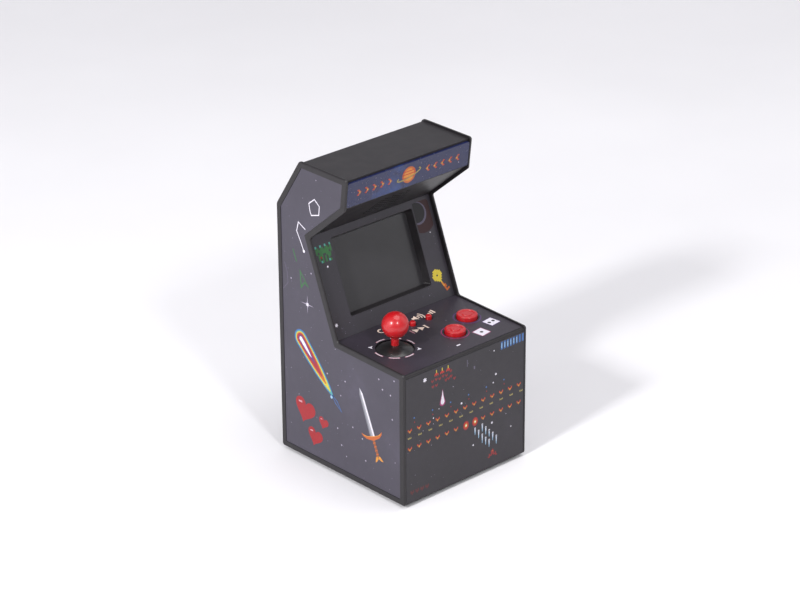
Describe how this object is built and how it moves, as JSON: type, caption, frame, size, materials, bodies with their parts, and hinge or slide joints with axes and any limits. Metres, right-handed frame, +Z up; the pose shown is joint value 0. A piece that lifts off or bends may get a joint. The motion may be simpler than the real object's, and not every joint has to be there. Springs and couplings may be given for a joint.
{
  "type": "bartop arcade cabinet",
  "caption": "Palm-size arcade cabinet with sloped screen, overhanging marquee, ball-top joystick, round play buttons, small option buttons and a battery bay behind.",
  "frame": {"origin": "middle of the footprint, on the surface that the feet stand on", "axes": "+Z up, the player stands on the -Y side and looks along +Y, +X is the player's right"},
  "size_m": [0.08, 0.088, 0.156],
  "materials": {
    "black_plastic": "satin black ABS moulding",
    "printed_film": "satin printed sticker, charcoal with coloured pixel art",
    "red_plastic": "glossy red moulding",
    "gloss_black": "glossy black moulding",
    "screen_glass": "clear smoked acrylic window",
    "lcd_glass": "dark switched-off display",
    "circuit_board": "green solder mask",
    "chip_black": "matt moulded packages",
    "steel": "zinc plated",
    "white_plastic": "natural acetal",
    "silicone": "matt translucent silicone",
    "foot_rubber": "matt black rubber",
    "speaker_cone": "black paper cone in a steel basket",
    "cable": "PVC insulation",
    "ribbon_film": "polyimide film"
  },
  "bodies": {
    "cabinet": {"left_side_panel": "black_plastic", "right_side_panel": "black_plastic", "front_shell": "black_plastic", "rear_shell": "black_plastic", "base_plate": "black_plastic", "battery_box": "black_plastic", "lcd_frame": "black_plastic", "speaker_ring": "black_plastic", "left_side_sticker": "printed_film", "right_side_sticker": "printed_film", "front_sticker": "printed_film", "deck_sticker": "printed_film", "bezel_sticker": "printed_film", "marquee_panel": "printed_film", "rubber_feet": "foot_rubber", "panel_screws": "steel", "base_screws": "steel", "inner_screws": "steel", "battery_contacts": "steel", "battery_springs": "steel", "screen_window": "screen_glass", "lcd_panel": "lcd_glass", "main_board": "circuit_board", "board_chips": "chip_black", "screen_ribbon": "ribbon_film", "control_ribbon": "ribbon_film", "joystick_ribbon": "ribbon_film", "speaker": "speaker_cone", "speaker_leads": "cable", "battery_leads": "cable", "power_switch": "steel", "button_board": "circuit_board", "joystick_board": "circuit_board", "button_domes": "silicone", "small_button_domes": "silicone", "joystick_domes": "silicone", "joystick_housing": "white_plastic"},
    "joystick_gimbal": {"joystick_gimbal": "white_plastic"},
    "joystick": {"joystick_ball": "red_plastic", "joystick_stick": "red_plastic", "joystick_dust_dome": "gloss_black", "joystick_rocker": "white_plastic"},
    "button_a": {"button_a": "red_plastic"},
    "button_b": {"button_b": "red_plastic"},
    "reset_button": {"reset_button": "red_plastic"},
    "start_button": {"start_button": "red_plastic"},
    "volume_button": {"volume_button": "red_plastic"},
    "power_switch_knob": {"power_switch_knob": "gloss_black"},
    "battery_door": {"battery_door": "black_plastic", "battery_door_screw": "steel"}
  },
  "joints": [
    {"name": "joystick_tilt_x", "type": "hinge", "parent": "cabinet", "child": "joystick_gimbal", "pos_m": [-0.0223, -0.01848, 0.05436], "axis": [1, 0, 0], "range_deg": [-9, 9], "stiffness_Nm_per_rad": 0.05, "deforming": ["joystick_domes"]},
    {"name": "joystick_tilt_y", "type": "hinge", "parent": "joystick_gimbal", "child": "joystick", "pos_m": [-0.0223, -0.01848, 0.05436], "axis": [0, 0.9997, 0.0261], "range_deg": [-9, 9], "stiffness_Nm_per_rad": 0.05, "deforming": ["joystick_domes"]},
    {"name": "button_a_press", "type": "slide", "parent": "cabinet", "child": "button_a", "axis": [0, 0.0261, -0.9997], "range_m": [0, 0.0012], "stiffness_N_per_m": 600, "springref_m": -0.0005, "deforming": ["button_domes"]},
    {"name": "button_b_press", "type": "slide", "parent": "cabinet", "child": "button_b", "axis": [0, 0.0261, -0.9997], "range_m": [0, 0.0012], "stiffness_N_per_m": 600, "springref_m": -0.0005, "deforming": ["button_domes"]},
    {"name": "reset_press", "type": "slide", "parent": "cabinet", "child": "reset_button", "axis": [0, 0.0261, -0.9997], "range_m": [0, 0.0008], "stiffness_N_per_m": 500, "springref_m": -0.0003, "deforming": ["small_button_domes"]},
    {"name": "start_press", "type": "slide", "parent": "cabinet", "child": "start_button", "axis": [0, 0.0261, -0.9997], "range_m": [0, 0.0008], "stiffness_N_per_m": 500, "springref_m": -0.0003, "deforming": ["small_button_domes"]},
    {"name": "volume_press", "type": "slide", "parent": "cabinet", "child": "volume_button", "axis": [0, 0.0261, -0.9997], "range_m": [0, 0.0008], "stiffness_N_per_m": 500, "springref_m": -0.0003, "deforming": ["small_button_domes"]},
    {"name": "power_slide", "type": "slide", "parent": "cabinet", "child": "power_switch_knob", "axis": [1, 0, 0], "range_m": [0, 0.003]},
    {"name": "battery_door_lift", "type": "slide", "parent": "cabinet", "child": "battery_door", "axis": [0, 1, 0], "range_m": [0, 0.03]}
  ]
}
